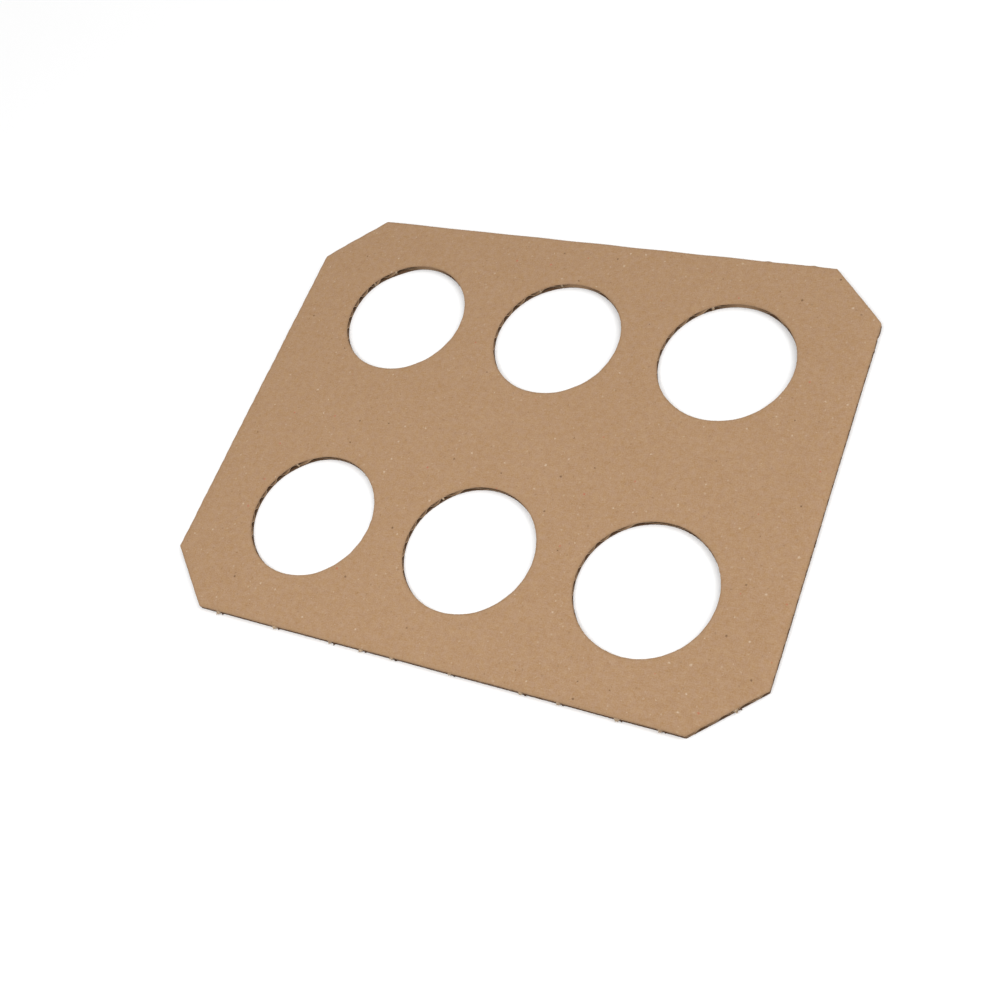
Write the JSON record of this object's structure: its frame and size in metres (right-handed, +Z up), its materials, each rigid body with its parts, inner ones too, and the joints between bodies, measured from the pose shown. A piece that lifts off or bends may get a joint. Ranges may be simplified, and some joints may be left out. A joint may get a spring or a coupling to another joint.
{
  "type": "cup carrier",
  "caption": "Flat die-cut sheet of brown corrugated board with cut corners and round holes that hold drinking cups.",
  "frame": {"origin": "middle of the sheet's underside, on the surface that it lies on", "axes": "+X along the long side and the flutes, +Y along the short side, +Z up out of the visible face"},
  "size_m": [0.278, 0.218, 0.0029],
  "materials": {
    "upper_liner": "matt brown kraft paper",
    "fluted_medium": "matt greyish brown paper",
    "lower_liner": "matt brown kraft paper"
  },
  "bodies": {
    "root": {"upper_liner": "upper_liner", "fluted_medium": "fluted_medium", "lower_liner": "lower_liner"}
  },
  "joints": []
}
